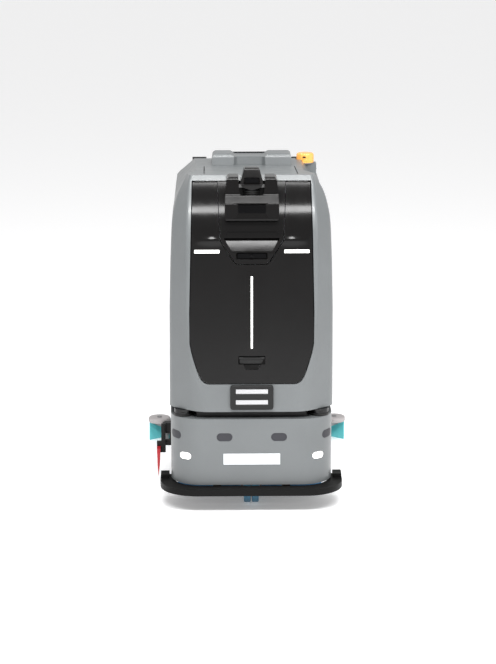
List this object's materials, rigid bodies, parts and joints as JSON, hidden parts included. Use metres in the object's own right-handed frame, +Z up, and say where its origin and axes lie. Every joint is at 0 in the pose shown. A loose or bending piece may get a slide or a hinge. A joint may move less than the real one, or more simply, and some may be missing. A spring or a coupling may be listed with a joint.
{
  "type": "robotic floor cleaner",
  "caption": "Upright self-driving scrubber-dryer with a hinged front hatch, disc brush deck, driven wheels, caster, sprung bumper and rear squeegee.",
  "frame": {"origin": "on the floor, at the middle of the overall box", "axes": "+Z up, the front faces -Y, +X to the right of a viewer who faces the front"},
  "size_m": [0.76, 1.1, 1.196],
  "materials": {
    "body_grey": "satin",
    "gloss_black": "gloss",
    "satin_black": "satin",
    "lidar_black": "gloss",
    "dark_window": "gloss",
    "window_grey": "satin",
    "white_light": "lit diffuser",
    "plate_white": "satin",
    "contact_metal": "brushed",
    "bumper_rubber": "satin",
    "frame_steel": "powder coat",
    "caster_rubber": "satin",
    "rim_metal": "cast",
    "tyre_rubber": "matte",
    "brush_plastic": "satin",
    "bristle_nylon": "bristle",
    "red_rubber": "satin",
    "squeegee_grey": "satin",
    "squeegee_rubber": "satin",
    "roller_grey": "satin",
    "hose_black": "ribbed",
    "tank_plastic": "satin",
    "battery_case": "satin",
    "base_yellow": "gloss",
    "button_red": "gloss",
    "amber_lens": "ribbed lens"
  },
  "bodies": {
    "chassis": {"chassis_frame": "frame_steel", "main_body_shell": "body_grey", "front_casing": "body_grey", "lidar_slot_band": "satin_black", "lidar_bases": "satin_black", "sensor_windows": "window_grey", "corner_lamps": "white_light", "blank_plate": "plate_white", "charging_bezel": "gloss_black", "charging_contacts": "contact_metal", "sensor_pod": "gloss_black", "pod_window": "dark_window", "pod_camera": "dark_window", "turret_neck": "satin_black", "turret_hood": "gloss_black", "turret_window": "dark_window", "caster_mount": "contact_metal", "gear_motors": "frame_steel", "skirt_bracket": "satin_black", "skirt_spring": "contact_metal", "suction_hose": "hose_black", "hose_elbow": "satin_black", "solution_tank": "tank_plastic", "recovery_tank": "tank_plastic", "battery_pack": "battery_case", "control_box": "satin_black", "suction_motor": "frame_steel", "console_housing": "body_grey", "touch_screen": "dark_window", "push_rail": "satin_black", "switch_bases": "base_yellow", "beacon_bracket": "body_grey", "beacon_lens": "amber_lens"},
    "hatch": {"front_panel": "gloss_black", "led_strips": "white_light"},
    "latch": {"latch_paddle": "satin_black"},
    "bumper": {"bumper": "bumper_rubber"},
    "caster": {"caster_fork": "frame_steel"},
    "caster_wheel": {"caster_wheels": "caster_rubber"},
    "left_wheel": {"left_rim": "rim_metal", "left_tyre": "tyre_rubber"},
    "right_wheel": {"right_rim": "rim_metal", "right_tyre": "tyre_rubber"},
    "deck": {"brush_deck": "satin_black", "brush_motors": "frame_steel"},
    "left_brush": {"left_brush_disc": "brush_plastic", "left_bristles": "bristle_nylon"},
    "right_brush": {"right_brush_disc": "brush_plastic", "right_bristles": "bristle_nylon"},
    "skirt": {"skirt_arm": "satin_black", "skirt_blade": "red_rubber"},
    "squeegee_lift": {"squeegee_arm": "frame_steel"},
    "squeegee": {"squeegee_head": "squeegee_grey", "squeegee_blades": "squeegee_rubber"},
    "left_roller": {"left_end_roller": "roller_grey"},
    "right_roller": {"right_end_roller": "roller_grey"},
    "lid": {"tank_lid": "body_grey"},
    "stop": {"stop_button": "button_red"},
    "left_lidar": {"left_lidar_rotor": "lidar_black"},
    "right_lidar": {"right_lidar_rotor": "lidar_black"}
  },
  "joints": [
    {"name": "hatch_hinge", "type": "hinge", "parent": "chassis", "child": "hatch", "pos_m": [0, -0.41198, 1.138], "axis": [-1, 0, 0], "range_deg": [0, 70]},
    {"name": "latch_pull", "type": "hinge", "parent": "hatch", "child": "latch", "pos_m": [0, -0.492, 0.542], "axis": [1, 0, 0], "range_deg": [0, 18], "stiffness_Nm_per_rad": 0.4, "springref_deg": -20.05},
    {"name": "bumper_travel", "type": "slide", "parent": "chassis", "child": "bumper", "axis": [0, 1, 0], "range_m": [0, 0.012], "stiffness_N_per_m": 2500, "springref_m": -0.004},
    {"name": "caster_swivel", "type": "hinge", "parent": "chassis", "child": "caster", "pos_m": [0, -0.418, 0.15], "axis": [0, 0, 1], "continuous": true},
    {"name": "caster_spin", "type": "hinge", "parent": "caster", "child": "caster_wheel", "pos_m": [0, -0.4, 0.045], "axis": [1, 0, 0], "continuous": true},
    {"name": "left_wheel_spin", "type": "hinge", "parent": "chassis", "child": "left_wheel", "pos_m": [-0.23, 0.17, 0.11], "axis": [1, 0, 0], "continuous": true},
    {"name": "right_wheel_spin", "type": "hinge", "parent": "chassis", "child": "right_wheel", "pos_m": [0.23, 0.17, 0.11], "axis": [1, 0, 0], "continuous": true},
    {"name": "deck_lift", "type": "slide", "parent": "chassis", "child": "deck", "axis": [0, 0, 1], "range_m": [0, 0.04]},
    {"name": "left_brush_spin", "type": "hinge", "parent": "deck", "child": "left_brush", "pos_m": [-0.134, -0.16, 0.037], "axis": [0, 0, 1], "continuous": true},
    {"name": "right_brush_spin", "type": "hinge", "parent": "deck", "child": "right_brush", "pos_m": [0.134, -0.16, 0.037], "axis": [0, 0, 1], "continuous": true},
    {"name": "skirt_swing", "type": "hinge", "parent": "chassis", "child": "skirt", "pos_m": [-0.312, -0.14, 0.206], "axis": [0, 1, 0], "range_deg": [0, 20]},
    {"name": "squeegee_raise", "type": "hinge", "parent": "chassis", "child": "squeegee_lift", "pos_m": [0, 0.3, 0.125], "axis": [1, 0, 0], "range_deg": [0, 10], "deforming": ["suction_hose"]},
    {"name": "squeegee_swivel", "type": "hinge", "parent": "squeegee_lift", "child": "squeegee", "pos_m": [0, 0.455, 0.11], "axis": [0, 0, 1], "range_deg": [-5, 5]},
    {"name": "left_roller_spin", "type": "hinge", "parent": "squeegee", "child": "left_roller", "pos_m": [-0.338, 0.40994, 0.081], "axis": [0, 0, 1], "continuous": true},
    {"name": "right_roller_spin", "type": "hinge", "parent": "squeegee", "child": "right_roller", "pos_m": [0.338, 0.40994, 0.081], "axis": [0, 0, 1], "continuous": true},
    {"name": "lid_hinge", "type": "hinge", "parent": "chassis", "child": "lid", "pos_m": [0, -0.051, 1.135], "axis": [-1, 0, 0], "range_deg": [0, 75]},
    {"name": "stop_press", "type": "slide", "parent": "chassis", "child": "stop", "axis": [0, 0, -1], "range_m": [0, 0.004], "stiffness_N_per_m": 1500, "springref_m": -0.002},
    {"name": "left_lidar_spin", "type": "hinge", "parent": "chassis", "child": "left_lidar", "pos_m": [-0.236, -0.436, 0.345], "axis": [0, 0, 1], "continuous": true},
    {"name": "right_lidar_spin", "type": "hinge", "parent": "chassis", "child": "right_lidar", "pos_m": [0.236, -0.436, 0.345], "axis": [0, 0, 1], "continuous": true}
  ],
  "couplings": [
    {"joint": "right_brush_spin", "follows": "left_brush_spin", "ratio": -1}
  ]
}
